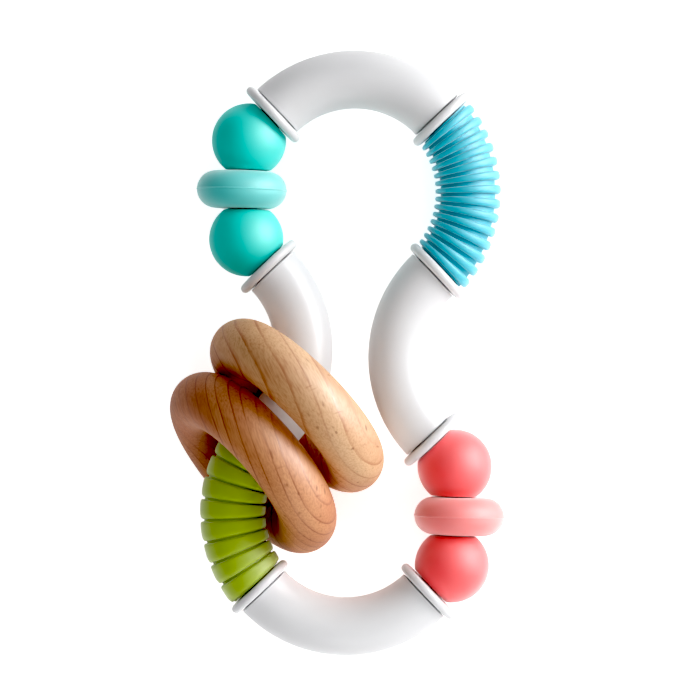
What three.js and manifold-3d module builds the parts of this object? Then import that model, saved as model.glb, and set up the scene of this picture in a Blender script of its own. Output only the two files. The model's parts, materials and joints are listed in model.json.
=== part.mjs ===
// A figure-eight baby teether. Four white tubes, each a quarter bend of the same radius, are joined
// into one closed loop by four soft sections: two strings of beads and two ribbed sleeves. Every
// soft section is threaded on a bent core whose ends sit in flanged plugs, and every plug is caught
// in the end of a tube, which closes round it in two half shells. Two wooden rings ride loose on the loop.
// Millimetres, +Z up. The loop is drawn flat in its own XY plane, front up, and is then laid on a
// table the way it comes to rest: propped on a wooden ring, with its far side down on the table.

import * as THREE from "three";
import { mergeVertices } from "three/addons/utils/BufferGeometryUtils.js";
import Module from "manifold-3d";

const wasm = await Module();
wasm.setup();

// The loop
const BEND_RADIUS = 30; // centreline radius of every quarter bend
const FIT_GAP = 0.3; // between pieces that seat on each other
const SEAM_GAP = 0.25; // between the two half shells of a tube

// White tubes
const TUBE_DIAMETER = 15.5;
const TUBE_WALL = 1.6;
const CATCH_SETBACK = 1.6; // from a tube's end to the rib that catches the plug
const CATCH_WIDTH = 1;
const CATCH_HEIGHT = 1.1;

// Flanged plugs
const FLANGE_DIAMETER = 19.4;
const FLANGE_THICKNESS = 2.4;
const SPIGOT_LENGTH = 4.2;
const SPIGOT_CLEARANCE = 0.6; // the straight spigot sits in a bent tube
const PLUG_FLOOR = 1; // closes the socket at the spigot's end

// Bent cores
const CORE_DIAMETER = 7;
const CORE_INSERT = 2.6; // how far a core reaches past the tube's end, inside the plug

// Beads and discs
const DISC_DIAMETER = 24.2;
const DISC_THICKNESS = 9.9;
const DISC_PLAY = 0.75; // round the core, so that the disc turns on the bend
const BEAD_FLAT_DEPTH = 1.7; // how far a bead is flattened by what it is squeezed against
const BEAD_OFFSET = 1.3; // a bead bulges to the outside of the bend by this much

// Ribbed sleeves
const SLEEVE_DIAMETER = 17.7;
const BLUE_RIBS = { count: 14, depth: 1.5, share: 0.64, startRounding: 0.45, endRounding: 0.45 };
const GREEN_RIBS = { count: 9, depth: 1.1, share: 0.86, startRounding: 0.45, endRounding: 1.1 };

// Wooden rings
const RING_BORE = 27;
const RING_SECTION = 15.5;
const RING_SPACE = 3.7; // between the rings, along the loop
const RING_SHIFT = 2; // the rings hang this far to one side of the loop's centreline
const UPPER_RING = { turn: -16.8, lean: 13.2 }; // degrees from square to the loop
const LOWER_RING = { turn: -20.9, lean: 16.5 };

// Facets
const TUBE_SIDES = 16;
const TUBE_STEPS = 8;
const PLUG_SIDES = 14;
const CORE_SIDES = 8;
const CORE_STEPS = 8;
const SLEEVE_SIDES = 14;
const BEAD_SIDES = 16;
const DISC_SIDES = 20;
const RIM_STEPS = 4;
const RING_SIDES = 28;
const RING_SECTION_SIDES = 12;
const HALVINGS = 24; // rounds in which a place that is found step by step is narrowed down

// Worked out from the above
const QUARTER = Math.PI / 2;
const TUBE_RADIUS = TUBE_DIAMETER / 2;
const TUBE_BORE_RADIUS = TUBE_RADIUS - TUBE_WALL;
const CORE_RADIUS = CORE_DIAMETER / 2;
const SOCKET_RADIUS = CORE_RADIUS + FIT_GAP;
const SPIGOT_RADIUS = TUBE_BORE_RADIUS - SPIGOT_CLEARANCE;
const SECTION_HALF = (BEND_RADIUS * QUARTER) / 2;
const CIRCLE_OFFSET = BEND_RADIUS * Math.SQRT2; // four equal circles, each touching two others
const BEAD_REACH = BEND_RADIUS + BEAD_OFFSET;
const RING_RADIUS = (RING_BORE + RING_SECTION) / 2;
const FAR = 4 * BEND_RADIUS; // larger than any piece that is trimmed

// Finishes
const WHITE_PLASTIC = new THREE.MeshStandardMaterial({ color: 0xf1f1f2, roughness: 0.42, metalness: 0 });
const CORE_PLASTIC = new THREE.MeshStandardMaterial({ color: 0xd8d8d6, roughness: 0.5, metalness: 0 });
const TEAL_SILICONE = new THREE.MeshStandardMaterial({ color: 0x06bfae, roughness: 0.6, metalness: 0 });
const PALE_TEAL_SILICONE = new THREE.MeshStandardMaterial({ color: 0x68cfcb, roughness: 0.6, metalness: 0 });
const CORAL_SILICONE = new THREE.MeshStandardMaterial({ color: 0xf2525a, roughness: 0.6, metalness: 0 });
const PALE_CORAL_SILICONE = new THREE.MeshStandardMaterial({ color: 0xf08d8c, roughness: 0.6, metalness: 0 });
const BLUE_SILICONE = new THREE.MeshStandardMaterial({ color: 0x55c8e6, roughness: 0.55, metalness: 0 });
const GREEN_SILICONE = new THREE.MeshStandardMaterial({ color: 0x8db52c, roughness: 0.55, metalness: 0 });
const BEECH_WOOD = new THREE.MeshStandardMaterial({ color: 0xc99a6c, roughness: 0.65, metalness: 0 });

// A closed geometry as a solid that can be joined and cut.
function solid(geometry) {
  const bare = geometry.clone();
  bare.deleteAttribute("normal");
  bare.deleteAttribute("uv");
  const merged = mergeVertices(bare, 1e-4);
  const vertProperties = new Float32Array(merged.attributes.position.array);
  const triVerts = new Uint32Array(merged.index.array);
  return new wasm.Manifold(new wasm.Mesh({ numProp: 3, vertProperties, triVerts }));
}

// A solid back as a geometry.
function geometryOf(body) {
  const mesh = body.getMesh();
  const geometry = new THREE.BufferGeometry();
  geometry.setAttribute("position", new THREE.BufferAttribute(mesh.vertProperties, 3));
  geometry.setIndex(new THREE.BufferAttribute(mesh.triVerts, 1));
  return geometry;
}

// Everything on the far side of a plane: a block with its near face through a point, square to a direction.
function beyond(point, direction) {
  const block = new THREE.BoxGeometry(FAR, FAR, FAR).translate(0, 0, FAR / 2);
  const turn = new THREE.Quaternion().setFromUnitVectors(new THREE.Vector3(0, 0, 1), direction);
  return solid(block.applyQuaternion(turn).translate(point.x, point.y, point.z));
}

// A body of revolution from a closed profile of [radius, place along the axis] points. The axis is Y.
function turned(profile, sides) {
  const points = profile.map(([radius, along]) => new THREE.Vector2(radius, along));
  points.push(points[0].clone());
  return new THREE.LatheGeometry(points, sides);
}

// The same body with its axis bent round the Z axis, on a circle of the loop's bend radius. The middle
// of the bend lies on +X.
function bentAndTurned(profile, sides) {
  const geometry = turned(profile, sides);
  const place = geometry.attributes.position;
  for (let i = 0; i < place.count; i++) {
    const angle = place.getY(i) / BEND_RADIUS;
    const reach = BEND_RADIUS + place.getX(i);
    place.setXY(i, reach * Math.cos(angle), reach * Math.sin(angle));
  }
  return geometry;
}

// Evenly spaced [radius, along] points of a straight run, so that it can bend.
function run(radius, from, to, steps) {
  return Array.from({ length: steps + 1 }, (_, i) => [radius, from + ((to - from) * i) / steps]);
}

// Points round an arc of a profile, from one angle to another, in degrees.
function round(radius, along, arcRadius, from, to, steps) {
  return Array.from({ length: steps + 1 }, (_, i) => {
    const angle = THREE.MathUtils.degToRad(from + ((to - from) * i) / steps);
    return [radius + arcRadius * Math.cos(angle), along + arcRadius * Math.sin(angle)];
  });
}

// White tubes: a bent tube with a rib inside each end, split into a front and a back half shell.
function tubeHalves() {
  const catchRadius = TUBE_BORE_RADIUS - CATCH_HEIGHT;
  const ribStart = SECTION_HALF - CATCH_SETBACK - CATCH_WIDTH;
  const ribEnd = SECTION_HALF - CATCH_SETBACK;
  const profile = [
    ...run(TUBE_RADIUS, -SECTION_HALF, SECTION_HALF, TUBE_STEPS),
    [TUBE_BORE_RADIUS, SECTION_HALF],
    [TUBE_BORE_RADIUS, ribEnd],
    [catchRadius, ribEnd],
    [catchRadius, ribStart],
    ...run(TUBE_BORE_RADIUS, ribStart, -ribStart, TUBE_STEPS - 2),
    [catchRadius, -ribStart],
    [catchRadius, -ribEnd],
    [TUBE_BORE_RADIUS, -ribEnd],
    [TUBE_BORE_RADIUS, -SECTION_HALF],
  ];
  const whole = solid(bentAndTurned(profile, TUBE_SIDES));
  const up = new THREE.Vector3(0, 0, 1);
  const down = new THREE.Vector3(0, 0, -1);
  const behindSeam = beyond(new THREE.Vector3(0, 0, SEAM_GAP / 2), down);
  const inFrontOfSeam = beyond(new THREE.Vector3(0, 0, -SEAM_GAP / 2), up);
  return { front: geometryOf(whole.subtract(behindSeam)), back: geometryOf(whole.subtract(inFrontOfSeam)) };
}

// Flanged plugs: a round-edged flange, a spigot with a groove for the tube's rib, and a socket for the core.
// The tube's end is at 0 on the axis and the soft section is on the + side.
function plugGeometry() {
  const edge = FLANGE_THICKNESS / 2;
  const flangeFoot = FIT_GAP;
  const flangeFace = FIT_GAP + FLANGE_THICKNESS;
  const grooveRadius = TUBE_BORE_RADIUS - CATCH_HEIGHT - FIT_GAP;
  const wedge = TUBE_BORE_RADIUS / BEND_RADIUS; // the rib is bent with the tube, the groove is straight
  const grooveTop = -CATCH_SETBACK * (1 - wedge) + FIT_GAP;
  const grooveBottom = -(CATCH_SETBACK + CATCH_WIDTH) * (1 + wedge) - FIT_GAP;
  const socketFloor = -SPIGOT_LENGTH + PLUG_FLOOR;
  const profile = [
    [0, -SPIGOT_LENGTH],
    [SPIGOT_RADIUS, -SPIGOT_LENGTH],
    [SPIGOT_RADIUS, grooveBottom],
    [grooveRadius, grooveBottom],
    [grooveRadius, grooveTop],
    [SPIGOT_RADIUS, grooveTop],
    [SPIGOT_RADIUS, flangeFoot],
    ...round(FLANGE_DIAMETER / 2 - edge, flangeFoot + edge, edge, -90, 90, RIM_STEPS),
    [SOCKET_RADIUS, flangeFace],
    [SOCKET_RADIUS, socketFloor],
    [0, socketFloor],
  ];
  return turned(profile, PLUG_SIDES);
}

// Bent cores: a round rod through a soft section, a little longer than a quarter bend.
function coreProfile(radius) {
  const half = SECTION_HALF + CORE_INSERT;
  return [[0, -half], ...run(radius, -half, half, CORE_STEPS), [0, half]];
}

// The point at one end of a quarter bend and the direction from it into the bend, for end -1 or +1.
function jointAt(end) {
  const angle = (end * QUARTER) / 2;
  const point = new THREE.Vector3(Math.cos(angle), Math.sin(angle), 0).multiplyScalar(BEND_RADIUS);
  const inward = new THREE.Vector3(end * Math.sin(angle), -end * Math.cos(angle), 0);
  return { angle, point, inward };
}

// What a soft piece has to stay out of at one end of its section: the flange and all that lies behind it.
function behindFlange(end) {
  const { point, inward } = jointAt(end);
  const face = point.clone().addScaledVector(inward, FLANGE_THICKNESS + 2 * FIT_GAP);
  return beyond(face, inward.clone().negate());
}

// Ribbed sleeves: a thick soft tube over the core, with rounded ribs, trimmed flat against both flanges.
// The ribs are wedges, wider on the outside of the bend.
function sleeveGeometry(ribs) {
  const ribRadius = SLEEVE_DIAMETER / 2;
  const rootRadius = ribRadius - ribs.depth;
  const pitch = (2 * SECTION_HALF - 2 * FLANGE_THICKNESS) / ribs.count;
  const ribHalf = (pitch * ribs.share) / 2;
  const outside = [[rootRadius, -SECTION_HALF]];
  for (let i = 0; i < ribs.count; i++) {
    const middle = (i - (ribs.count - 1) / 2) * pitch;
    outside.push([rootRadius, middle - ribHalf]);
    outside.push([ribRadius, middle - ribHalf + ribs.startRounding]);
    outside.push([ribRadius, middle + ribHalf - ribs.endRounding]);
    outside.push([rootRadius, middle + ribHalf]);
  }
  outside.push([rootRadius, SECTION_HALF]);
  const profile = [...outside, ...run(SOCKET_RADIUS, SECTION_HALF, -SECTION_HALF, CORE_STEPS)];
  const whole = solid(bentAndTurned(profile, SLEEVE_SIDES));
  return geometryOf(whole.subtract(behindFlange(-1)).subtract(behindFlange(1)));
}

// Discs: a fat washer with a fully rounded rim, turning on the core in the middle of a bead section.
function discGeometry() {
  const edge = DISC_THICKNESS / 2;
  const bore = CORE_RADIUS + DISC_PLAY;
  const rim = round(DISC_DIAMETER / 2 - edge, 0, edge, -90, 90, 2 * RIM_STEPS);
  return turned([[bore, -edge], ...rim, [bore, edge]], DISC_SIDES);
}

// Beads: a ball between the disc and a flange, midway between their faces and flattened against both.
function beadGeometry(end) {
  const wedge = QUARTER / 4;
  const uneven = DISC_THICKNESS / 2 - FLANGE_THICKNESS - FIT_GAP;
  const angle = wedge + Math.asin(uneven / (2 * BEAD_REACH * Math.cos(wedge)));
  const toFace = BEAD_REACH * Math.sin(angle) - DISC_THICKNESS / 2;
  const radius = toFace + BEAD_FLAT_DEPTH;
  const ball = new THREE.SphereGeometry(radius, BEAD_SIDES, BEAD_SIDES / 2 + 3);
  ball.translate(BEAD_REACH * Math.cos(angle), end * BEAD_REACH * Math.sin(angle), 0);
  const discFace = new THREE.Vector3(0, end * (DISC_THICKNESS / 2 + FIT_GAP), 0);
  const discSide = beyond(discFace, new THREE.Vector3(0, -end, 0));
  const bore = solid(bentAndTurned(coreProfile(SOCKET_RADIUS), CORE_SIDES));
  return geometryOf(solid(ball).subtract(discSide).subtract(behindFlange(end)).subtract(bore));
}

// Assembly of the loop, front up, in its own plane
const teether = new THREE.Group();
const loop = new THREE.Group();
teether.add(loop);
const pieces = new Map();

function add(parent, name, geometry, material) {
  const mesh = new THREE.Mesh(geometry, material);
  mesh.name = name;
  parent.add(mesh);
  pieces.set(name, mesh);
  return mesh;
}

// A quarter bend's own frame: its circle's centre, turned so that +X points to the middle of the bend.
function bend(centreX, centreY, middleDegrees) {
  const group = new THREE.Group();
  group.position.set(centreX, centreY, 0);
  group.rotation.z = THREE.MathUtils.degToRad(middleDegrees);
  loop.add(group);
  return group;
}

const UP = CIRCLE_OFFSET;
const DOWN = -CIRCLE_OFFSET;
const LEFT = -CIRCLE_OFFSET;
const RIGHT = CIRCLE_OFFSET;

const halves = tubeHalves();
const tubeBends = {
  top_tube: bend(0, UP, 90),
  bottom_tube: bend(0, DOWN, 270),
  left_waist_tube: bend(LEFT, 0, 0),
  right_waist_tube: bend(RIGHT, 0, 180),
};
for (const [name, group] of Object.entries(tubeBends)) {
  add(group, `${name}_front_shell`, halves.front, WHITE_PLASTIC);
  add(group, `${name}_back_shell`, halves.back, WHITE_PLASTIC);
}

// Soft sections: the end that is uppermost on the loop is -1 on the left side and +1 on the right side.
const softBends = {
  teal: { group: bend(0, UP, 180), upperEnd: -1 },
  blue: { group: bend(0, UP, 0), upperEnd: 1 },
  coral: { group: bend(0, DOWN, 0), upperEnd: 1 },
  green: { group: bend(0, DOWN, 180), upperEnd: -1 },
};
const plug = plugGeometry();
const core = bentAndTurned(coreProfile(CORE_RADIUS), CORE_SIDES);
for (const [colour, { group, upperEnd }] of Object.entries(softBends)) {
  add(group, `${colour}_core`, core, CORE_PLASTIC);
  for (const [place, end] of [["upper", upperEnd], ["lower", -upperEnd]]) {
    const { point, inward } = jointAt(end);
    const mesh = add(group, `${colour}_${place}_plug`, plug, WHITE_PLASTIC);
    mesh.position.copy(point);
    mesh.rotation.z = Math.atan2(-inward.x, inward.y);
  }
}

const beadStrings = {
  teal: { bead: TEAL_SILICONE, disc: PALE_TEAL_SILICONE },
  coral: { bead: CORAL_SILICONE, disc: PALE_CORAL_SILICONE },
};
for (const [colour, finish] of Object.entries(beadStrings)) {
  const { group, upperEnd } = softBends[colour];
  add(group, `${colour}_upper_bead`, beadGeometry(upperEnd), finish.bead);
  add(group, `${colour}_lower_bead`, beadGeometry(-upperEnd), finish.bead);
  add(group, `${colour}_disc`, discGeometry(), finish.disc).position.x = BEND_RADIUS;
}
add(softBends.blue.group, "blue_ribbed_sleeve", sleeveGeometry(BLUE_RIBS), BLUE_SILICONE);
add(softBends.green.group, "green_ribbed_sleeve", sleeveGeometry(GREEN_RIBS), GREEN_SILICONE);

// All the corners of a piece, in the frame of the finished assembly so far.
function corners(mesh) {
  mesh.updateWorldMatrix(true, false);
  const place = mesh.geometry.attributes.position;
  const found = [];
  for (let i = 0; i < place.count; i++) {
    found.push(new THREE.Vector3().fromBufferAttribute(place, i).applyMatrix4(mesh.matrixWorld));
  }
  return found;
}

// Wooden rings. Both ride on the loop near the joint of the left waist tube and the green sleeve, turned and
// leaning a little from square. A ring is raised until its bore almost meets the loop from below; the lower
// one keeps enough clearance over the sleeve to slide past the flanges.
const ringGeometry = new THREE.TorusGeometry(RING_RADIUS, RING_SECTION / 2, RING_SECTION_SIDES, RING_SIDES);
const threaded = ["left_waist_tube_back_shell", "green_upper_plug", "green_ribbed_sleeve"];
const threadedCorners = threaded.flatMap((name) => corners(pieces.get(name)));

// The least gap between a ring at a place and the corners of what it is threaded on.
function ringGap(centre, axis) {
  const gaps = threadedCorners.map((corner) => {
    const from = corner.clone().sub(centre);
    const along = from.dot(axis);
    const out = Math.sqrt(Math.max(0, from.lengthSq() - along * along));
    return Math.hypot(out - RING_RADIUS, along) - RING_SECTION / 2;
  });
  return Math.min(...gaps);
}

function addRing(name, centre, heading, lean, clearance) {
  const axis = new THREE.Vector3(Math.cos(heading), Math.sin(heading), -Math.tan(lean)).normalize();
  let clear = 0;
  let touching = RING_RADIUS;
  for (let i = 0; i < HALVINGS; i++) {
    const height = (clear + touching) / 2;
    if (ringGap(new THREE.Vector3(centre.x, centre.y, height), axis) > clearance) clear = height;
    else touching = height;
  }
  const mesh = add(loop, name, ringGeometry, BEECH_WOOD);
  mesh.position.set(centre.x, centre.y, clear);
  mesh.quaternion.setFromUnitVectors(new THREE.Vector3(0, 0, 1), axis);
  return mesh;
}

const ringStep = (RING_SECTION + RING_SPACE) / 2 / BEND_RADIUS; // angle from the joint to a ring's middle
const upperAngle = -QUARTER / 2 + ringStep;
const lowerAngle = (QUARTER * 3) / 2 + ringStep;
const upperCentre = new THREE.Vector2(Math.cos(upperAngle), Math.sin(upperAngle));
const lowerCentre = new THREE.Vector2(Math.cos(lowerAngle), Math.sin(lowerAngle));
upperCentre.multiplyScalar(BEND_RADIUS + RING_SHIFT).add(new THREE.Vector2(LEFT, 0));
lowerCentre.multiplyScalar(BEND_RADIUS - RING_SHIFT).add(new THREE.Vector2(0, DOWN));
const upperHeading = upperAngle + QUARTER + THREE.MathUtils.degToRad(UPPER_RING.turn);
const lowerHeading = lowerAngle - QUARTER + THREE.MathUtils.degToRad(LOWER_RING.turn);
const overFlange = FIT_GAP + (FLANGE_DIAMETER - SLEEVE_DIAMETER) / 2;
const upperLean = THREE.MathUtils.degToRad(UPPER_RING.lean);
const lowerLean = THREE.MathUtils.degToRad(LOWER_RING.lean);
addRing("upper_wooden_ring", upperCentre, upperHeading, upperLean, FIT_GAP);
addRing("lower_wooden_ring", lowerCentre, lowerHeading, lowerLean, overFlange);

// At rest the toy leans on three pieces: a ring on the left, and a disc and a sleeve on the right. Their
// lowest corners give the table's plane, which gives their lowest corners again, until both agree.
const supports = ["upper_wooden_ring", "coral_disc", "blue_ribbed_sleeve"];
const supportCorners = supports.map((name) => corners(pieces.get(name)));
const upright = new THREE.Vector3(0, 0, 1);
const table = new THREE.Plane(upright.clone(), 0);
for (let i = 0; i < HALVINGS; i++) {
  const feet = supportCorners.map((found) => {
    return found.reduce((low, corner) => (corner.dot(table.normal) < low.dot(table.normal) ? corner : low));
  });
  table.setFromCoplanarPoints(...feet);
  if (table.normal.z < 0) table.negate();
}
loop.quaternion.setFromUnitVectors(table.normal, upright);

// The origin is in the middle of the finished toy, on the table.
const extent = new THREE.Box3().setFromObject(teether, true);
const middle = extent.getCenter(new THREE.Vector3());
loop.position.set(-middle.x, -middle.y, -extent.min.z);

export default teether;
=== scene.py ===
# %% [markdown]
# A figure-eight baby teether: white grip tubes, squeezed silicone beads, ribbed silicone sleeves and two
# loose beech rings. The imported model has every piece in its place, in metres. It could be dressed by
# giving its plain solids better materials. Here each visible solid gets a finer mesh of the same size
# instead, because soft light shows every facet on silicone and turned wood.

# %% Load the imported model
import json
import math

import bmesh
import bpy
import numpy as np
from mathutils import Matrix, Vector


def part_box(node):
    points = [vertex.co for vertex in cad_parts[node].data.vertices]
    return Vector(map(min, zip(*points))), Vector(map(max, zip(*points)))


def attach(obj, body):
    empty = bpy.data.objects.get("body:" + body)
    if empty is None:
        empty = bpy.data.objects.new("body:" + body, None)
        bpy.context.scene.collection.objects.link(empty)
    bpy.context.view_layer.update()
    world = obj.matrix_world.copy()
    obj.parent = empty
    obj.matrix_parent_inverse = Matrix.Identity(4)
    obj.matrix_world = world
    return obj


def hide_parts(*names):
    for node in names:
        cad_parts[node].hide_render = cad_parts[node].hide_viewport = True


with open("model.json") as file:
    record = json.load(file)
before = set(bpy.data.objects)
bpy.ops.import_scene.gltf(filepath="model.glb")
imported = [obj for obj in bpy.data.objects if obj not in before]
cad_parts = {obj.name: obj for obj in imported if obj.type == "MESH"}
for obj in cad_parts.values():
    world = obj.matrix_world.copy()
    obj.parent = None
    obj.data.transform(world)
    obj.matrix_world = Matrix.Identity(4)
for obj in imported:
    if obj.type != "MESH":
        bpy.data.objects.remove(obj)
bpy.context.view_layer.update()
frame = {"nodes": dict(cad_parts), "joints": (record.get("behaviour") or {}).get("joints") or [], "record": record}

MM = 0.001
record = frame["record"]
body_of = {node: body for body, nodes in record["behaviour"]["bodies"].items() for node in nodes}

# %% [markdown]
# The toy lies tilted on the table, so the loop has a frame of its own: X across, Y along the figure eight
# and Z out of its front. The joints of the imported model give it. The lower ring slides about the front
# direction, the discs turn about the long direction, and the two discs lie evenly about the middle.

# %% The loop's own frame
joints = {joint["name"]: joint for joint in frame["joints"]}
teal_disc_centre = Vector(joints["teal_disc_spin"]["pos_m"])
coral_disc_centre = Vector(joints["coral_disc_spin"]["pos_m"])
front = Vector(joints["lower_ring_slide"]["axis"]).normalized()
lengthwise = Vector(joints["teal_disc_spin"]["axis"]).normalized()
crosswise = lengthwise.cross(front)
toy = Matrix((crosswise, lengthwise, front)).transposed().to_4x4()
toy.translation = (teal_disc_centre + coral_disc_centre) / 2

# From the middle, a disc's centre is one bend radius across and the root of two bend radii along.
BEND_RADIUS = (teal_disc_centre - coral_disc_centre).length / math.sqrt(12)
SECTION_HALF = BEND_RADIUS * math.pi / 4
OFFSET = BEND_RADIUS * math.sqrt(2)


def bend(centre_x, centre_y, degrees):
    """Where a quarter bend lies: its circle's centre, with +X towards the middle of the bend."""
    centre = Matrix.Translation((centre_x, centre_y, 0))
    return toy @ centre @ Matrix.Rotation(math.radians(degrees), 4, "Z")


TUBE_BENDS = {
    "top_tube": bend(0, OFFSET, 90),
    "bottom_tube": bend(0, -OFFSET, 270),
    "left_waist_tube": bend(-OFFSET, 0, 0),
    "right_waist_tube": bend(OFFSET, 0, 180),
}
SOFT_BENDS = {
    "teal": bend(0, OFFSET, 180),
    "blue": bend(0, OFFSET, 0),
    "coral": bend(0, -OFFSET, 0),
    "green": bend(0, -OFFSET, 180),
}
UPPER_END = {"teal": -1, "blue": 1, "coral": 1, "green": -1}
print("bend radius", round(BEND_RADIUS / MM, 2), "mm")

# %% [markdown]
# Node trees could be wired link by link, but they are easier to read as sums. A Wire stands for a socket,
# and arithmetic on it adds Math nodes. A Board stands for a tree, and its node method adds any other
# node.

# %% Nodes as expressions
class Wire:
    """A node's output that can be used in Python arithmetic."""

    def __init__(self, board, socket):
        self.board = board
        self.socket = socket

    def __add__(self, other):
        return self.board.maths("ADD", self, other)

    def __radd__(self, other):
        return self.board.maths("ADD", other, self)

    def __sub__(self, other):
        return self.board.maths("SUBTRACT", self, other)

    def __rsub__(self, other):
        return self.board.maths("SUBTRACT", other, self)

    def __mul__(self, other):
        return self.board.maths("MULTIPLY", self, other)

    def __rmul__(self, other):
        return self.board.maths("MULTIPLY", other, self)

    def __truediv__(self, other):
        return self.board.maths("DIVIDE", self, other)

    def __rtruediv__(self, other):
        return self.board.maths("DIVIDE", other, self)


class Board:
    """A node tree that nodes are added to."""

    def __init__(self, tree):
        self.tree = tree

    def feed(self, socket, value):
        if isinstance(value, Wire):
            self.tree.links.new(value.socket, socket)
        else:
            socket.default_value = value

    def node(self, kind, settings=None, inputs=None, output=0):
        """Adds a node, sets its settings, feeds its inputs, and gives one of its outputs."""
        made = self.tree.nodes.new(kind)
        for name, value in (settings or {}).items():
            if name == "stops":
                self.set_stops(made.color_ramp, value)
            else:
                setattr(made, name, value)
        for key, value in (inputs or {}).items():
            self.feed(made.inputs[key], value)
        return Wire(self, made.outputs[output])

    def set_stops(self, ramp, stops):
        while len(ramp.elements) < len(stops):
            ramp.elements.new(1)
        for element, (place, colour) in zip(ramp.elements, stops):
            element.position = place
            element.color = colour

    def maths(self, operation, *values):
        return self.node("ShaderNodeMath", {"operation": operation}, dict(enumerate(values)))

    def vector(self, x=0, y=0, z=0):
        return self.node("ShaderNodeCombineXYZ", None, {"X": x, "Y": y, "Z": z})

    def vector_maths(self, operation, first, second, output="Vector"):
        settings = {"operation": operation}
        return self.node("ShaderNodeVectorMath", settings, {0: first, 1: second}, output)

    def mix(self, factor, first, second):
        """Mixes two colours."""
        return self.node("ShaderNodeMix", {"data_type": "RGBA"}, {0: factor, 6: first, 7: second}, 2)

    def noise(self, place, scale, detail=3, roughness=0.5):
        inputs = {"Vector": place, "Scale": scale, "Detail": detail, "Roughness": roughness}
        return self.node("ShaderNodeTexNoise", None, inputs)

    def span(self, value, low, high, first=0, last=1):
        """Turns the span from low to high into the span from first to last, and goes no further."""
        inputs = {"Value": value, "From Min": low, "From Max": high, "To Min": first, "To Max": last}
        return self.node("ShaderNodeMapRange", None, inputs)


def srgb(red, green, blue):
    """A colour as a screen shows it, from 0 to 255, as the linear values that a shader takes."""
    shares = np.array([red, green, blue]) / 255
    linear = np.where(shares <= 0.04045, shares / 12.92, ((shares + 0.055) / 1.055) ** 2.4)
    return (*(float(value) for value in linear), 1.0)


print("white as a shader takes it:", srgb(255, 255, 255))

# %% [markdown]
# White satin plastic. Moulded tubes like these have a very fine spark-eroded grain that takes the shine
# off. A picture of such a grain would show its seams, so two scales of noise give it: a bump too fine to
# see as dots, and slow drifts in tone and roughness where hands have polished it.

# %% Finish: moulded white plastic
GRAIN_SCALE = 5200
GRAIN_HEIGHT = 0.012 * MM
GRAIN_DULLING = 0.06
POLISH_SCALE = 90
POLISH_DRIFT = 0.1
PLASTIC_SHINE = 0.2
MIDDLE = 0.5


def shader(name, **constants):
    """A new material's board, its Principled node, and the place of each point on the piece."""
    material = bpy.data.materials.new(name)
    material.use_nodes = True
    board = Board(material.node_tree)
    principled = material.node_tree.nodes["Principled BSDF"]
    for socket, value in constants.items():
        principled.inputs[socket.replace("_", " ")].default_value = value
    place = board.node("ShaderNodeTexCoord", output="Object")
    return material, board, principled, place


def bump(board, height, distance, strength=1.0):
    inputs = {"Height": height, "Distance": distance, "Strength": strength}
    return board.node("ShaderNodeBump", None, inputs)


def moulded_plastic(name, colour, shaded, roughness):
    material, board, principled, place = shader(name, Specular_IOR_Level=PLASTIC_SHINE)
    polish = board.noise(place, POLISH_SCALE, 2)
    grain = board.noise(place, GRAIN_SCALE, 2)
    drift = POLISH_DRIFT * (polish - MIDDLE) + GRAIN_DULLING * (grain - MIDDLE)
    board.feed(principled.inputs["Base Color"], board.mix(polish, shaded, colour))
    board.feed(principled.inputs["Roughness"], roughness + drift)
    board.feed(principled.inputs["Normal"], bump(board, grain, GRAIN_HEIGHT))
    return material


white_plastic = moulded_plastic(
    "white_satin_plastic",
    colour=srgb(228, 228, 229),
    shaded=srgb(223, 223, 225),
    roughness=0.4,
)
core_plastic = moulded_plastic(
    "core_plastic",
    colour=srgb(214, 214, 212),
    shaded=srgb(205, 205, 203),
    roughness=0.5,
)
print("finishes:", white_plastic.name, core_plastic.name)

# %% [markdown]
# Silicone is soft and dull. Its colour is mixed through, so a plain painted surface would look wrong:
# light goes a few millimetres into it, which softens the shadows on the beads, and its skin has a chalky
# bloom that pales the lit side. The colour drifts only slightly, and a very fine bump makes the skin like
# a peach's.

# %% Finish: matte silicone
SKIN_SCALE = 3600
SKIN_HEIGHT = 0.018 * MM
SKIN_ROUGHNESS = 0.66
SKIN_DRIFT = 0.12
SILICONE_SHINE = 0.9
BLOOM_ROUGHNESS = 0.55
CLOUD_SCALE = 110
CLOUD_DEPTH = 0.96
LIGHT_DEPTH = 1.2 * MM
SILICONE_SKIN = {
    "Specular_IOR_Level": SILICONE_SHINE,
    "Sheen_Roughness": BLOOM_ROUGHNESS,
    "Subsurface_Weight": 0.6,
    "Subsurface_Scale": LIGHT_DEPTH,
    "Subsurface_Radius": (1, 1, 1),
}


def silicone(name, colour, bloom):
    material, board, principled, place = shader(name, Sheen_Weight=bloom, **SILICONE_SKIN)
    cloud = board.noise(place, CLOUD_SCALE, 3)
    skin = board.noise(place, SKIN_SCALE, 2)
    deep = srgb(*(CLOUD_DEPTH * value for value in colour))
    board.feed(principled.inputs["Base Color"], board.mix(cloud, deep, srgb(*colour)))
    board.feed(principled.inputs["Roughness"], SKIN_ROUGHNESS + SKIN_DRIFT * (skin - MIDDLE))
    board.feed(principled.inputs["Normal"], bump(board, skin, SKIN_HEIGHT))
    return material


SILICONE_COLOURS = {
    "teal_silicone": ((0, 221, 211), 0.3),
    "pale_teal_silicone": ((98, 214, 212), 0.75),
    "coral_silicone": ((252, 86, 89), 0.85),
    "pale_coral_silicone": ((250, 140, 138), 0.9),
    "blue_silicone": ((8, 188, 209), 0.7),
    "green_silicone": ((168, 190, 34), 0.7),
}
SILICONES = {name: silicone(name, *look) for name, look in SILICONE_COLOURS.items()}
print("finishes:", *SILICONES)

# %% [markdown]
# Every fine mesh goes through the same steps: its seams are closed, its faces turned outwards and
# smoothed except at true edges, and it takes its node's place on the node's body. Doing this once, in
# functions, keeps each piece's own cell down to its shape.

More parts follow.
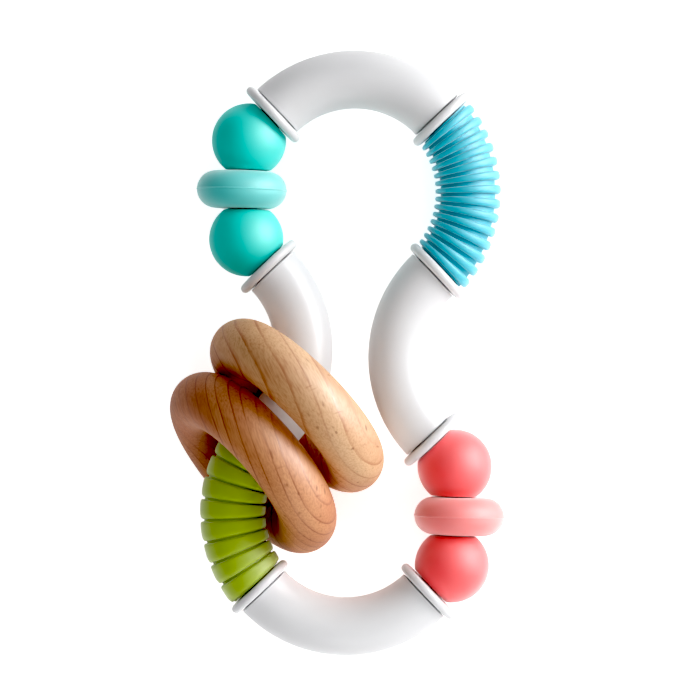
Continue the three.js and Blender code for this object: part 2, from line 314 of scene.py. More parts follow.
# %% Placing a piece
MERGE_DISTANCE = 0.001 * MM


def show(thing):
    """Adds an object to the scene."""
    bpy.context.scene.collection.objects.link(thing)
    return thing


def settle(mesh):
    """Closes the seams of a mesh, turns its faces outwards, and counts the edges left open."""
    work = bmesh.new()
    work.from_mesh(mesh)
    bmesh.ops.remove_doubles(work, verts=work.verts, dist=MERGE_DISTANCE)
    bmesh.ops.recalc_face_normals(work, faces=work.faces)
    open_edges = sum(not seam.is_manifold for seam in work.edges)
    work.to_mesh(mesh)
    work.free()
    return open_edges


def new_mesh(name, points, faces, place):
    """A closed mesh with its place applied."""
    mesh = bpy.data.meshes.new(name)
    mesh.from_pydata([place @ Vector(point) for point in points], [], faces)
    settle(mesh)
    return mesh


def dress(node, mesh, finish, sharp_degrees=40):
    """Shows a fine mesh in place of a node, riding on the node's body."""
    mesh.polygons.foreach_set("use_smooth", [True] * len(mesh.polygons))
    mesh.set_sharp_from_angle(angle=math.radians(sharp_degrees))
    mesh.materials.clear()
    mesh.materials.append(finish)
    piece = show(bpy.data.objects.new(f"{node}_skin", mesh))
    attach(piece, body_of[node])
    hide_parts(node)


def baked(name, mesh, add_modifiers):
    """The mesh with its modifiers applied, as a new plain mesh."""
    carrier = show(bpy.data.objects.new(name, mesh))
    helpers = add_modifiers(carrier)
    evaluated = carrier.evaluated_get(bpy.context.evaluated_depsgraph_get())
    result = bpy.data.meshes.new_from_object(evaluated)
    for thing in [carrier, *helpers]:
        bpy.data.objects.remove(thing)
    return result


print("pieces to place:", len(body_of))

# %% [markdown]
# Most pieces of this toy are round, so they could be spun with a Screw modifier. Turning a profile in code
# gives a closed mesh at once, with no seam to weld. A profile lists (radius, along) pairs.

# %% Turning a profile
def lathe(profile, sides):
    """Points and faces of a closed profile of (radius, along) pairs, turned round the Y axis."""
    count = len(profile)
    points = []
    faces = []
    for side in range(sides):
        angle = 2 * math.pi * side / sides
        across, up = math.cos(angle), math.sin(angle)
        points += [(radius * across, along, radius * up) for radius, along in profile]
        for i in range(count):
            here, there = side * count, (side + 1) % sides * count
            after = (i + 1) % count
            faces.append((here + i, here + after, there + after, there + i))
    return points, faces


def arc(radius, along, size, start, end, steps):
    """Points round an arc of a profile, between two angles in degrees."""
    angles = np.radians(np.linspace(start, end, steps + 1))
    return [(radius + size * math.cos(a), along + size * math.sin(a)) for a in angles]


print("a quarter arc of 4 steps has", len(arc(1, 0, 1, 0, 90, 4)), "points")

# %% [markdown]
# The white tubes. Each is a quarter bend moulded in two halves that meet in the loop's plane, so a hairline
# runs along its sides. A curve with a bevel would give the round tube, but not the seam. A half is a
# U-shaped wall swept along the bend, with rounded ends and a small chamfer at the seam. It is one rule,
# so each half comes from one grid of points.

# %% White tubes in two halves
TUBE_RADIUS = 7.73 * MM
TUBE_BORE = 6.15 * MM
TUBE_END_ROUNDING = 0.35 * MM
SEAM_GAP = 0.25 * MM
SEAM_CHAMFER = 0.08 * MM
CATCH_RADIUS = 5.05 * MM
CATCH_FROM_END = (1.6 * MM, 2.6 * MM)
CATCH_SLOPE = 0.05 * MM
END_ANGLES = (0, 22.5, 45, 67.5, 90)
TUBE_STEPS = 48
HALF_SIDES = 40


def on_bend(reach, along, height):
    """A point beside the bent centreline: how far out, how far along and how high."""
    angle = along / BEND_RADIUS
    return ((BEND_RADIUS + reach) * math.cos(angle), (BEND_RADIUS + reach) * math.sin(angle), height)


def tube_walls():
    """(along, outer radius, inner radius) at each step of a tube."""
    ends = [TUBE_END_ROUNDING * (1 - math.cos(a)) for a in np.radians(END_ANGLES)]
    catches = [CATCH_FROM_END[0] - CATCH_SLOPE, *CATCH_FROM_END, CATCH_FROM_END[1] + CATCH_SLOPE]
    near = [end - SECTION_HALF for end in ends + catches]
    first = near[-1]
    run = np.linspace(first, -first, TUBE_STEPS)[1:-1]
    walls = []
    for along in [*near, *run, *(-value for value in reversed(near))]:
        from_end = SECTION_HALF - abs(along)
        short = max(0, TUBE_END_ROUNDING - from_end)
        outer = TUBE_RADIUS - TUBE_END_ROUNDING + math.sqrt(TUBE_END_ROUNDING**2 - short**2)
        caught = CATCH_FROM_END[0] - MERGE_DISTANCE < from_end < CATCH_FROM_END[1] + MERGE_DISTANCE
        walls.append((along, outer, CATCH_RADIUS if caught else TUBE_BORE))
    return walls


def half_shell(side):
    """A half of a tube: side +1 is the front half and -1 the back half."""
    walls = tube_walls()
    points = []
    for along, outer, inner in walls:
        for radius in (outer, inner):
            for k in range(HALF_SIDES + 1):
                angle = math.pi * k / HALF_SIDES
                at_seam = k in (0, HALF_SIDES)
                drawn_in = SEAM_CHAMFER if at_seam and radius == outer else 0
                height = max((radius - drawn_in) * math.sin(angle), SEAM_GAP / 2)
                points.append(on_bend((radius - drawn_in) * math.cos(angle), along, side * height))
    row = HALF_SIDES + 1
    faces = []
    for i in range(len(walls) - 1):
        this, following = i * 2 * row, (i + 1) * 2 * row
        for wall in (0, row):
            for k in range(HALF_SIDES):
                a, b = this + wall + k, following + wall + k
                faces.append((a, a + 1, b + 1, b))
        for k in (0, HALF_SIDES):
            faces.append((this + k, this + row + k, following + row + k, following + k))
    for end in (0, (len(walls) - 1) * 2 * row):
        for k in range(HALF_SIDES):
            faces.append((end + k, end + k + 1, end + row + k + 1, end + row + k))
    return points, faces


for tube, place in TUBE_BENDS.items():
    for half, side in (("front", 1), ("back", -1)):
        node = f"{tube}_{half}_shell"
        dress(node, new_mesh(node, *half_shell(side), place), white_plastic, sharp_degrees=50)
print("tubes:", len(TUBE_BENDS), "in two halves each")

# %% [markdown]
# The round-edged collars are the flanges of plugs that go into the tubes. Only the flange shows, so a
# bevelled disc would look the same, but the meshes are kept as parts. The whole plug is therefore turned
# from one profile: flange, grooved spigot and a blind socket for the core.

# %% Flanged plugs
FIT_GAP = 0.3 * MM
FLANGE_RADIUS = 9.7 * MM
FLANGE_THICKNESS = 2.4 * MM
SPIGOT_RADIUS = 5.55 * MM
SPIGOT_LENGTH = 4.2 * MM
GROOVE_RADIUS = 4.75 * MM
GROOVE_START, GROOVE_END = -3.4 * MM, -1 * MM
SOCKET_RADIUS = 3.8 * MM
SOCKET_FLOOR = -3.2 * MM
EDGE_STEPS = 14
PLUG_SIDES = 72

edge = FLANGE_THICKNESS / 2
plug_profile = [
    (0, -SPIGOT_LENGTH),
    (SPIGOT_RADIUS, -SPIGOT_LENGTH),
    (SPIGOT_RADIUS, GROOVE_START),
    (GROOVE_RADIUS, GROOVE_START),
    (GROOVE_RADIUS, GROOVE_END),
    (SPIGOT_RADIUS, GROOVE_END),
    (SPIGOT_RADIUS, FIT_GAP),
    *arc(FLANGE_RADIUS - edge, FIT_GAP + edge, edge, -90, 90, EDGE_STEPS),
    (SOCKET_RADIUS, FIT_GAP + FLANGE_THICKNESS),
    (SOCKET_RADIUS, SOCKET_FLOOR),
    (0, SOCKET_FLOOR),
]


def section_end(end):
    """Where a quarter bend ends, for end -1 or +1, with +Y pointing into the bend."""
    angle = end * math.pi / 4
    point = Matrix.Translation((BEND_RADIUS * math.cos(angle), BEND_RADIUS * math.sin(angle), 0))
    inward = angle if end < 0 else angle + math.pi
    return point @ Matrix.Rotation(inward, 4, "Z")


for colour, place in SOFT_BENDS.items():
    for name, end in (("upper", UPPER_END[colour]), ("lower", -UPPER_END[colour])):
        node = f"{colour}_{name}_plug"
        plug = new_mesh(node, *lathe(plug_profile, PLUG_SIDES), place @ section_end(end))
        dress(node, plug, white_plastic)
print("plugs:", 2 * len(SOFT_BENDS))

# %% [markdown]
# The cores are the bent rods that the beads and sleeves are threaded on. They could be remade finer, but
# they are shut in under the silicone, so they stay as the model has them and only get a finish.

# %% Cores
for colour in SOFT_BENDS:
    frame["nodes"][f"{colour}_core"].material_slots[0].material = core_plastic
print("cores:", len(SOFT_BENDS))

# %% [markdown]
# The beads are balls of soft silicone, pressed flat against the disc on one side and the slanted collar on
# the other. Cutting the flats with planes would leave sharp rims. A ball is pushed in along both planes
# with a smooth minimum instead, which rounds the rim of each flat as squeezed rubber does. The bore for
# the core is then cut out.

# %% Squeezed beads
DISC_HALF = 4.95 * MM
FLAT_DEPTH = 1.7 * MM
BEAD_REACH = BEND_RADIUS + 1.3 * MM
RIM_SOFTNESS = 0.3 * MM
CORE_REACH = SECTION_HALF + 2.6 * MM
BORE_SIDES = 32
BALL_LEVEL = 6
LEAST_FACING = 0.01

half_wedge = math.pi / 8
uneven = DISC_HALF - FLANGE_THICKNESS - FIT_GAP
bead_angle = half_wedge + math.asin(uneven / (2 * BEAD_REACH * math.cos(half_wedge)))
to_faces = BEAD_REACH * math.sin(bead_angle) - DISC_HALF
bead_radius = to_faces + FLAT_DEPTH


def smooth_least(first, second, softness):
    """The lesser of two lengths, eased where they are alike."""
    blend = np.clip(0.5 + 0.5 * (second - first) / softness, 0, 1)
    return second * (1 - blend) + first * blend - softness * blend * (1 - blend)


def bored_by_core(piece):
    alongs = np.linspace(-CORE_REACH, CORE_REACH, BORE_SIDES)
    rings = [(SOCKET_RADIUS, along) for along in alongs]
    points, faces = lathe([(0, -CORE_REACH), *rings, (0, CORE_REACH)], BORE_SIDES)
    bent = [on_bend(x, y, z) for x, y, z in points]
    cutter = show(bpy.data.objects.new("core_bore", new_mesh("core_bore", bent, faces, Matrix())))
    cut = piece.modifiers.new("bore", "BOOLEAN")
    cut.object = cutter
    return [cutter]


def bead_mesh(name, end):
    """A bead in its bend's frame, on the side of the disc that end says."""
    ball = bmesh.new()
    bmesh.ops.create_icosphere(ball, subdivisions=BALL_LEVEL, radius=1)
    mesh = bpy.data.meshes.new(name)
    ball.to_mesh(mesh)
    ball.free()
    directions = np.array([vertex.co[:] for vertex in mesh.vertices])
    collar = end * math.pi / 4
    to_collar = np.array([-end * math.sin(collar), end * math.cos(collar), 0])
    to_disc = np.array([0, -end, 0])
    gap = to_faces - FIT_GAP
    reach = np.full(len(directions), bead_radius)
    for flat in (to_collar, to_disc):
        facing = np.maximum(directions @ flat, LEAST_FACING)
        reach = smooth_least(reach, gap / facing, RIM_SOFTNESS)
    centre = np.array([math.cos(bead_angle), end * math.sin(bead_angle), 0]) * BEAD_REACH
    mesh.vertices.foreach_set("co", (directions * reach[:, None] + centre).ravel())
    return baked(name, mesh, bored_by_core)


for colour in ("teal", "coral"):
    for name, end in (("upper", UPPER_END[colour]), ("lower", -UPPER_END[colour])):
        node = f"{colour}_{name}_bead"
        mesh = bead_mesh(node, end)
        mesh.transform(SOFT_BENDS[colour])
        dress(node, mesh, SILICONES[f"{colour}_silicone"])
print("beads", round(2 * bead_radius / MM, 1), "mm across")

# %% [markdown]
# Between the beads sits a fat disc in a paler shade. It is moulded in two halves, and the raised hairline
# where the mould closed runs round the middle of its rim. A bump could draw the line, but it would be lost
# in the mesh that is kept, so the line is part of the turned profile.

# %% Discs with a parting line
DISC_RADIUS = 12.07 * MM
DISC_BORE = 4.25 * MM
LINE_HEIGHT = 0.16 * MM
LINE_WIDTH = 0.16 * MM
DISC_SIDES = 128
FLANK_START, FLANK_STEPS = 8, 24
LINE_REACH, LINE_STEPS = 6, 25
flank_angles = np.linspace(FLANK_START, 90, FLANK_STEPS)
line_angles = np.linspace(-LINE_REACH, LINE_REACH, LINE_STEPS)
rim_angles = np.radians([*-flank_angles[::-1], *line_angles, *flank_angles])


def rim_point(angle):
    along = DISC_HALF * math.sin(angle)
    line = LINE_HEIGHT * math.exp(-((along / LINE_WIDTH) ** 2))
    return (DISC_RADIUS - LINE_HEIGHT - DISC_HALF + DISC_HALF * math.cos(angle) + line, along)


rim = [rim_point(angle) for angle in rim_angles]
disc_profile = [(DISC_BORE, -DISC_HALF), *rim, (DISC_BORE, DISC_HALF)]
for colour in ("teal", "coral"):
    node = f"{colour}_disc"
    place = SOFT_BENDS[colour] @ Matrix.Translation((BEND_RADIUS, 0, 0))
    disc = new_mesh(node, *lathe(disc_profile, DISC_SIDES), place)
    dress(node, disc, SILICONES[f"pale_{colour}_silicone"])
print("discs", round(2 * DISC_RADIUS / MM, 1), "mm across")

# %% [markdown]
# The ribbed sleeves. A rib repeats along a bent path, which an array and a curve modifier could do, but
# their ends would not lie flat against the slanted collars. Geometry Nodes can. One rib is turned straight,
# as a strip of skin one pitch long. It is repeated, joined to the lining and the end faces, welded, and
# bent so that the ribs spread like a fan, wider on the outside of the bend.

# %% Repeating a rib and bending a sleeve
def rib_row(board, given):
    """The rib, repeated along a straight sleeve."""
    pitch = given["Length"] / given["Rib count"]
    start = board.vector(y=0.5 * pitch - 0.5 * given["Length"])
    row = {"Count": given["Rib count"], "Start Location": start, "Offset": board.vector(y=pitch)}
    points = board.node("GeometryNodeMeshLine", None, row)
    rib = board.node("GeometryNodeObjectInfo", None, {"Object": given["Rib"]}, "Geometry")
    ribs = board.node("GeometryNodeInstanceOnPoints", None, {"Points": points, "Instance": rib})
    return board.node("GeometryNodeRealizeInstances", None, {"Geometry": ribs})


def bent_place(board, given):
    """Where each point goes when the straight sleeve is bent between its two collars."""
    position = board.node("GeometryNodeInputPosition")
    x, y, z = (board.node("ShaderNodeSeparateXYZ", None, {0: position}, axis) for axis in "XYZ")
    reach = given["Bend radius"] + x
    to_collar = board.maths("ARCSINE", given["End gap"] / reach)
    angle = (2 * y / given["Length"]) * (math.pi / 4 - to_collar)
    return board.vector(reach * board.maths("COSINE", angle), reach * board.maths("SINE", angle), z)


print("a sleeve's tree has two steps:", rib_row.__name__, "and", bent_place.__name__)

# %% [markdown]
# The steps go into one tree with named inputs, so that both sleeves use it with their own ribs. The tree
# could end in instances, which are lighter, but an export drops those, so it ends in a real mesh with its
# finish set.

# %% The sleeve's tree
WELD_DISTANCE = 0.01 * MM
SLEEVE_INPUTS = {
    "Rib": "Object",
    "Lining": "Object",
    "Rib count": "Int",
    "Length": "Float",
    "Bend radius": "Float",
    "End gap": "Float",
    "Finish": "Material",
}


def sleeve_tree():
    """The tree, and the identifier of each of its inputs."""
    tree = bpy.data.node_groups.new("ribbed_sleeve", "GeometryNodeTree")
    board = Board(tree)
    sockets = {}
    tree.interface.new_socket("Geometry", in_out="OUTPUT", socket_type="NodeSocketGeometry")
    for name, kind in SLEEVE_INPUTS.items():
        made = tree.interface.new_socket(name, in_out="INPUT", socket_type=f"NodeSocket{kind}")
        sockets[name] = made.identifier
    inputs = tree.nodes.new("NodeGroupInput")
    given = {name: Wire(board, inputs.outputs[name]) for name in SLEEVE_INPUTS}
    lining = board.node("GeometryNodeObjectInfo", None, {"Object": given["Lining"]}, "Geometry")
    joined = board.node("GeometryNodeJoinGeometry")
    for part in (rib_row(board, given), lining):
        tree.links.new(part.socket, joined.socket.node.inputs[0])
    weld = {"Geometry": joined, "Distance": WELD_DISTANCE}
    welded = board.node("GeometryNodeMergeByDistance", None, weld)
    move = {"Geometry": welded, "Position": bent_place(board, given)}
    bent = board.node("GeometryNodeSetPosition", None, move)
    whole = board.node("GeometryNodeRealizeInstances", None, {"Geometry": bent})
    finish = {"Geometry": whole, "Material": given["Finish"]}
    finished = board.node("GeometryNodeSetMaterial", None, finish)
    out = tree.nodes.new("NodeGroupOutput")
    tree.links.new(finished.socket, out.inputs[0])
    return tree, sockets


ribbed_sleeve, sleeve_sockets = sleeve_tree()
print("tree", ribbed_sleeve.name, "with inputs", ", ".join(sleeve_sockets))

# %% [markdown]
# The blue ribs are narrow, with round tips and deep open grooves. The green ribs are broad bands with a
# thin groove between them, crisp on the upper edge and well rounded on the lower one. A box with bevels
# would need different bevels for each, so both profiles are the two halves of a superellipse: the higher
# its power, the squarer that side of the rib.

# %% Ribbed sleeves
SLEEVE_RADIUS = 8.69 * MM
SLEEVE_SIDES = 96
RIB_POINTS = 9
END_GAP = FLANGE_THICKNESS + 2 * FIT_GAP
SLEEVE_LENGTH = 2 * (SECTION_HALF - END_GAP)


def rib_side(half_width, depth, power):
    """(radius, along) from a rib's crest to its foot."""
    points = []
    for angle in np.linspace(math.pi / 2, 0, RIB_POINTS):
        along = half_width * math.cos(angle) ** (2 / power)
        height = depth * math.sin(angle) ** (2 / power)
        points.append((SLEEVE_RADIUS - depth + height, along))
    return points


def strip(profile, sides):
    """An open strip of skin: a profile of (radius, along) pairs turned round the Y axis."""
    points, faces = lathe(profile, sides)
    count = len(profile)
    return points, [face for i, face in enumerate(faces) if i % count != count - 1]


def helper(name, points, faces):
    """An object for the tree to take its mesh from."""
    mesh = bpy.data.meshes.new(name)
    mesh.from_pydata(points, [], faces)
    return show(bpy.data.objects.new(name, mesh))


def sleeve_mesh(name, count, depth, share, start_power, end_power, finish):
    pitch = SLEEVE_LENGTH / count
    rib_half = share * pitch / 2
    root = SLEEVE_RADIUS - depth
    rising = [(radius, -along) for radius, along in reversed(rib_side(rib_half, depth, start_power))]
    falling = rib_side(rib_half, depth, end_power)[1:]
    rib_profile = [(root, -pitch / 2), *rising, *falling, (root, pitch / 2)]
    rib = helper("rib", *strip(rib_profile, SLEEVE_SIDES))
    far = SLEEVE_LENGTH / 2
    bore = [(SOCKET_RADIUS, along) for along in np.linspace(far, -far, 3 * count)]
    lining_profile = [(root, far), *bore, (root, -far)]
    lining = helper("lining", *strip(lining_profile, SLEEVE_SIDES))
    values = {
        "Rib": rib,
        "Lining": lining,
        "Rib count": count,
        "Length": SLEEVE_LENGTH,
        "Bend radius": BEND_RADIUS,
        "End gap": END_GAP,
        "Finish": finish,
    }

    def repeat_and_bend(carrier):
        modifier = carrier.modifiers.new("sleeve", "NODES")
        modifier.node_group = ribbed_sleeve
        for key, value in values.items():
            modifier[sleeve_sockets[key]] = value
        return [rib, lining]

    return baked(name, bpy.data.meshes.new(name), repeat_and_bend)


SLEEVES = {
    "blue": {"count": 14, "depth": 1.5 * MM, "share": 0.66, "start_power": 3, "end_power": 3},
    "green": {"count": 9, "depth": 1.1 * MM, "share": 0.88, "start_power": 6, "end_power": 3},
}
for colour, ribs in SLEEVES.items():
    node = f"{colour}_ribbed_sleeve"
    finish = SILICONES[f"{colour}_silicone"]
    mesh = sleeve_mesh(node, **ribs, finish=finish)
    mesh.transform(SOFT_BENDS[colour])
    open_edges = settle(mesh)
    dress(node, mesh, finish, sharp_degrees=60)
    print(node, len(mesh.polygons), "faces,", open_edges, "open edges")

# %% [markdown]
# The two loose rings. A ring could be an added torus, turned by hand. Its place and lean come from the
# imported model, so its frame is read from its solid: the centre of its box, and the direction in which the
# solid is thinnest.

# %% Where the wooden rings lie
RING_SECTION = 7.61 * MM
RING_RADIUS = 21.25 * MM
RING_SIDES = 192
SECTION_SIDES = 72


def ring_frame(node):
    """A ring's centre, and its axis as +Y."""
    corners = np.array([vertex.co[:] for vertex in frame["nodes"][node].data.vertices])
    low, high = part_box(node)
    centre = (Vector(low) + Vector(high)) / 2
    axis = np.linalg.svd(corners - corners.mean(axis=0), full_matrices=False)[2][2]
    turn = Vector((0, 1, 0)).rotation_difference(Vector(axis))
    return Matrix.Translation(centre) @ turn.to_matrix().to_4x4()


RING_FRAMES = {node: ring_frame(node) for node in ("upper_wooden_ring", "lower_wooden_ring")}
for node, place in RING_FRAMES.items():
    print(node, "is centred at", [round(value / MM, 1) for value in place.translation], "mm")

# %% [markdown]
# A ring is turned from a board of beech, so the yearly layers of the tree cut across it. Flat stripes would
# not bend over the ring as those do, so the pattern is worked out in space: how far a point lies along the
# trunk, and how far to its two sides from the pith. The pith is measured from the ring's centre, in the
# loop's frame.

# %% Where a point lies in the wood
def from_the_pith(board, place, ring, pith, trunk):
    """How far along the trunk a point lies, and how far to its two sides."""
    turn = toy.to_3x3()
    pith_point = RING_FRAMES[ring].translation + turn @ Vector(pith)
    trunk_way = (turn @ Vector(trunk)).normalized()
    side_way = trunk_way.orthogonal().normalized()
    ways = (trunk_way, side_way, trunk_way.cross(side_way))
    offset = board.vector_maths("SUBTRACT", place, pith_point)
    return [board.vector_maths("DOT_PRODUCT", offset, way, "Value") for way in ways]


def stretched(board, wood_place, along_scale, side_scale):
    """The place in the wood, drawn out along the trunk or across it."""
    along, side_a, side_b = wood_place
    return board.vector(along * along_scale, side_a * side_scale, side_b * side_scale)


def spots(board, where, core, rim):
    """Scattered spots: 1 inside the core of each, and 0 beyond its rim."""
    cells = board.node("ShaderNodeTexVoronoi", None, {"Vector": where, "Scale": 1.0}, "Distance")
    return board.span(cells, core, rim, 1, 0)


print("wood is measured from the pith of", len(RING_FRAMES), "boards")

# %% [markdown]
# The layers are bent sheets round the pith, a few millimetres apart, each ending in a thin orange-brown line
# of late wood. A wave texture would space them evenly. Here good and poor years widen and narrow them, the
# trunk's slow bends make them wander, and the line is stronger in some places than in others.

# %% Yearly layers
YEARS_SCALE = 110
WANDER_SCALE = 38
WANDER_SHARE = 0.4
TREMBLE_SCALE = 240
TREMBLE_SHARE = 0.06
STRENGTH_SCALE = 75
STRENGTH_SPAN = (0.36, 0.62)
STRENGTH_RANGE = (0.3, 0.8)
CLEAR = (0.0, 0.0, 0.0, 1.0)
FAINT = (0.12, 0.12, 0.12, 1.0)
FULL = (1.0, 1.0, 1.0, 1.0)
LATE_WOOD = [(0.0, CLEAR), (0.5, CLEAR), (0.82, FAINT), (0.93, FULL), (0.985, FULL), (1.0, CLEAR)]


def yearly_layers(board, place, distance, spacing):
    """The number of the year at each point, its late wood, and how strongly that shows."""
    good_years = board.noise(board.vector(distance * YEARS_SCALE), 1, 1) - MIDDLE
    wander = board.noise(place, WANDER_SCALE, 2) - MIDDLE
    tremble = board.noise(place, TREMBLE_SCALE, 3) - MIDDLE
    layers = distance / spacing + good_years + WANDER_SHARE * wander + TREMBLE_SHARE * tremble
    share = board.maths("FRACT", layers)
    late = board.node("ShaderNodeValToRGB", {"stops": LATE_WOOD}, {"Fac": share})
    strength = board.span(board.noise(place, STRENGTH_SCALE, 2), *STRENGTH_SPAN, *STRENGTH_RANGE)
    return board.maths("FLOOR", layers), late, strength


print("late wood fills", round(1 - LATE_WOOD[3][0], 2), "of a layer")

# %% [markdown]
# Fine fibres run along the trunk, and short dark flecks and small cross marks, the rays that give beech its
# look, gather near the pith. They could be one fine noise, but each has its own length and direction, so
# each is a pattern drawn out in its own way. The pith lies on the lit side of each ring, so away from it
# the wood is painted darker, as painted shade on the side turned from the key light, and its lines stronger.

# %% Finish: beech
FIBRE_STRETCH = (240, 2300)
FLECK_STRETCH = (120, 620)
RAY_STRETCH = (700, 120)
FIBRE_ROUGHENING = 0.6
FLECK_SPOT = (0.12, 0.26)
RAY_SPOT = (0.1, 0.22)
FLECK_PATCHES = 160
FLECK_PATCH_SPAN = (0.46, 0.58)
RAY_PATCHES = 130
RAY_PATCH_SPAN = (0.5, 0.6)
SPECKLED = (1, 0.25)
TONE_SCALE = 55
SHADE_SIDE_TONE, PATCH_TONE, YEAR_TONE, PALE_TONE = 0.7, 0.8, 0.9, 0.65
STREAKING = 1.1
FIBRE_LEVEL = 0.42
RAY_DEPTH = 0.6
FLECK_DEPTH = 0.8
YEAR_STEP = 1.7
PALE_SIDE = (20 * MM, 50 * MM)
# How far from the pith the painted shade on the side turned from the light begins, and where it is full.
PAINTED_SHADE_SPAN = (25 * MM, 65 * MM)
LINE_FADE = (0.3, 1.25)
WOOD_SHINE = 0.65
WOOD_ROUGHNESS = 0.5
FIBRE_DULLING = 0.22
LINE_POLISH = 0.1
WOOD_RELIEF = 0.05 * MM
LINE_RELIEF = 0.4
RELIEF_STRENGTH = 0.6


def beech(name, ring, pith, trunk, spacing, pale, tan, line, fleck):
    """Wood whose layers lie round the pith, coloured from its pale body to its dark flecks."""
    material, board, principled, place = shader(name, Specular_IOR_Level=WOOD_SHINE)
    wood_place = from_the_pith(board, place, ring, pith, trunk)
    _, side_a, side_b = wood_place
    distance = board.maths("SQRT", side_a * side_a + side_b * side_b)
    year, late, strength = yearly_layers(board, place, distance, spacing)
    near_pith = board.span(distance, *PALE_SIDE, *SPECKLED)
    # Painted shade: away from the pith, on the side turned from the key light, the wood darkens and its fibres
    # show more.
    painted_shade_side = board.span(distance, *PAINTED_SHADE_SPAN)

    fibres = board.noise(stretched(board, wood_place, *FIBRE_STRETCH), 1, 4, FIBRE_ROUGHENING)
    flecks = spots(board, stretched(board, wood_place, *FLECK_STRETCH), *FLECK_SPOT) * near_pith
    flecks = flecks * board.span(board.noise(place, FLECK_PATCHES, 2), *FLECK_PATCH_SPAN)
    rays = spots(board, stretched(board, wood_place, *RAY_STRETCH), *RAY_SPOT) * near_pith
    rays = rays * board.span(board.noise(place, RAY_PATCHES, 2), *RAY_PATCH_SPAN)

    yearly_tone = board.noise(board.vector(YEAR_STEP * year), 1, 1)
    patchy_tone = board.noise(place, TONE_SCALE, 3)
    tone = SHADE_SIDE_TONE * painted_shade_side + PATCH_TONE * patchy_tone + YEAR_TONE * yearly_tone - PALE_TONE
    streaks = (STREAKING + painted_shade_side) * (fibres - FIBRE_LEVEL)
    streaked = board.mix(streaks, board.mix(tone, pale, tan), line)
    fading = board.span(distance, *PALE_SIDE, *LINE_FADE)
    lined = board.mix(strength * late * fading, streaked, line)
    rayed = board.mix(RAY_DEPTH * rays, lined, line)
    board.feed(principled.inputs["Base Color"], board.mix(FLECK_DEPTH * flecks, rayed, fleck))
    roughness = WOOD_ROUGHNESS + FIBRE_DULLING * fibres - LINE_POLISH * late
    board.feed(principled.inputs["Roughness"], roughness)
    relief = fibres - FLECK_DEPTH * flecks + LINE_RELIEF * late
    board.feed(principled.inputs["Normal"], bump(board, relief, WOOD_RELIEF, RELIEF_STRENGTH))
    return material


print("fibres are drawn out", round(FIBRE_STRETCH[1] / FIBRE_STRETCH[0], 1), "times along the trunk")

# %% [markdown]
# The rings are of two boards. One material could serve both, but the upper ring is paler, with wide years,
# and the lower one is redder, with narrow years. Each has its own pith, which sets how the lines curve and
# on which side of the ring the painted shade falls.

# %% Two boards of beech
WOODS = {
    "upper_wooden_ring": beech(
        "upper_beech",
        ring="upper_wooden_ring",
        pith=(32 * MM, 16 * MM, 20 * MM),
        trunk=(0.45, -0.86, 0.24),
        spacing=4.5 * MM,
        pale=srgb(224, 188, 148),
        tan=srgb(194, 134, 96),
        line=srgb(160, 84, 48),
        fleck=srgb(130, 58, 26),
    ),
    "lower_wooden_ring": beech(
        "lower_beech",
        ring="lower_wooden_ring",
        pith=(42 * MM, 15 * MM, 30 * MM),
        trunk=(0.34, -0.93, 0.12),
        spacing=3.0 * MM,
        pale=srgb(220, 166, 122),
        tan=srgb(180, 116, 84),
        line=srgb(150, 84, 58),
        fleck=srgb(116, 50, 22),
    ),
}
print("finishes:", *(wood.name for wood in WOODS.values()))

# %% [markdown]
# A ring's shape is one circle turned about the ring's axis. Blender's own torus would do, but the lathe
# above puts the circle straight into the ring's frame, fine enough to look round from any side.

# %% Wooden rings
ring_profile = arc(RING_RADIUS, 0, RING_SECTION, 0, 360, SECTION_SIDES)[:-1]
for node, wood in WOODS.items():
    ring = new_mesh(node, *lathe(ring_profile, RING_SIDES), RING_FRAMES[node])
    dress(node, ring, wood)
print("rings", round(2 * (RING_RADIUS + RING_SECTION) / MM, 1), "mm across")

# %% [markdown]
# The photograph looks straight at the loop's front from about a metre, with the camera rolled slightly.
# The camera could be aimed by eye, but the loop's own frame gives its direction: it stands on the Z axis
# of the loop, above the table, and its lens follows from the size of a pixel.

# %% Camera
FRAME_PIXELS = 700
MM_PER_PIXEL = 0.265
CAMERA_DISTANCE = 1000 * MM
TOY_CENTRE_PIXEL = (350.4, 352.9)
CAMERA_ROLL = math.radians(1.6)
CLIP_NEAR, CLIP_FAR = 0.01, 10

camera = show(bpy.data.objects.new("camera", bpy.data.cameras.new("camera")))
frame_width = FRAME_PIXELS * MM_PER_PIXEL * MM
camera.data.lens = camera.data.sensor_width * CAMERA_DISTANCE / frame_width
right = (FRAME_PIXELS / 2 - TOY_CENTRE_PIXEL[0]) * MM_PER_PIXEL * MM
up = (TOY_CENTRE_PIXEL[1] - FRAME_PIXELS / 2) * MM_PER_PIXEL * MM
rolled = toy @ Matrix.Rotation(CAMERA_ROLL, 4, "Z")
camera.matrix_world = rolled @ Matrix.Translation((right, up, CAMERA_DISTANCE))
camera.data.clip_start = CLIP_NEAR
camera.data.clip_end = CLIP_FAR
bpy.context.scene.camera = camera
print("lens", round(camera.data.lens), "mm")

# %% [markdown]
# The table. A matte white plane under these lights would go grey round the toy, where a product photograph
# has clean white. So the table also glows faintly, as a light table does, and the shadows on it stay soft.

# %% Table
TABLE_HALF = 2.0
TABLE_GLOW = 0.6
TABLE_TONE_SCALE = 6
TABLE_ROUGHNESS = 0.8

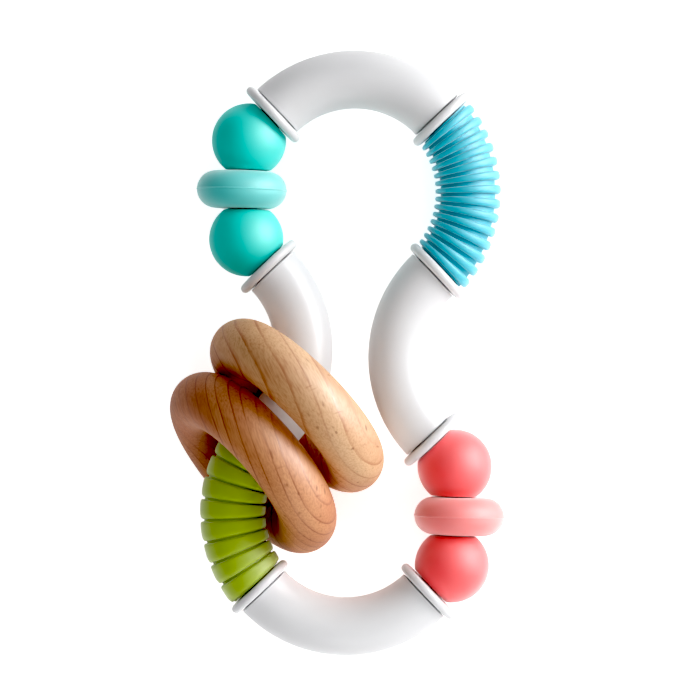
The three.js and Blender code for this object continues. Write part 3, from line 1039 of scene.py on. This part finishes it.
corners = [(-TABLE_HALF, -TABLE_HALF, 0), (TABLE_HALF, -TABLE_HALF, 0)]
corners += [(TABLE_HALF, TABLE_HALF, 0), (-TABLE_HALF, TABLE_HALF, 0)]
floor_mesh = bpy.data.meshes.new("table")
floor_mesh.from_pydata(corners, [], [(0, 1, 2, 3)])
glow = {"Emission_Color": (1, 1, 1, 1), "Emission_Strength": TABLE_GLOW}
table_white, board, principled, place = shader("table_white", Roughness=TABLE_ROUGHNESS, **glow)
drift = board.noise(place, TABLE_TONE_SCALE, 2)
board.feed(principled.inputs["Base Color"], board.mix(drift, srgb(247, 247, 248), srgb(250, 250, 250)))
floor_mesh.materials.append(table_white)
floor = show(bpy.data.objects.new("table", floor_mesh))
print("table", 2 * TABLE_HALF, "m wide")

# %% [markdown]
# The light. One sun would give hard shadows, so large softboxes stand round the toy, placed in the loop's
# frame. The one low on the upper right models the shapes. Beside it, one that only glosses pales the lit
# side of the silicone and wood without burning out the white tubes. Weaker ones on the left, behind the
# camera and below lift the rest, and the room adds little.

# %% Lights
ROOM_LIGHT = 0.12


def softbox(name, offset, size, watts, diffuse=True):
    """A square light that faces the toy. Without diffuse it only glosses."""
    light = bpy.data.lights.new(name, "AREA")
    light.size = size
    light.energy = watts
    lamp = show(bpy.data.objects.new(name, light))
    lamp.visible_diffuse = diffuse
    lamp.location = toy @ Vector(offset)
    lamp.rotation_mode = "QUATERNION"
    lamp.rotation_quaternion = (toy.translation - lamp.location).to_track_quat("-Z", "Y")


softbox("right_softbox", offset=(0.83, 0.41, 0.38), size=0.6, watts=8.6)
softbox("haze_softbox", offset=(0.85, 0.38, 0.3), size=0.7, watts=56, diffuse=False)
softbox("left_softbox", offset=(-0.8, 0.05, 0.45), size=0.8, watts=0.8)
softbox("front_softbox", offset=(0.2, 0.3, 1.5), size=2.0, watts=12.0)
softbox("lower_softbox", offset=(0.05, -0.4, 0.2), size=0.25, watts=0.8)
world = bpy.data.worlds.new("studio")
world.use_nodes = True
room = world.node_tree.nodes["Background"]
room.inputs["Color"].default_value = (1, 1, 1, 1)
room.inputs["Strength"].default_value = ROOM_LIGHT
bpy.context.scene.world = world

# %% [markdown]
# The grading. Product photographs are finished with deep, clean shades. A filmic view would grey the white
# table, so the view stays Standard, and a raised black level takes the haze out of the shadows.

# %% Grading
BLACK_LEVEL = 0.08
grading = bpy.context.scene.view_settings
grading.view_transform = "Standard"
grading.use_curve_mapping = True
grading.curve_mapping.black_level = (BLACK_LEVEL, BLACK_LEVEL, BLACK_LEVEL)
print("view", grading.view_transform, "with black level", BLACK_LEVEL)
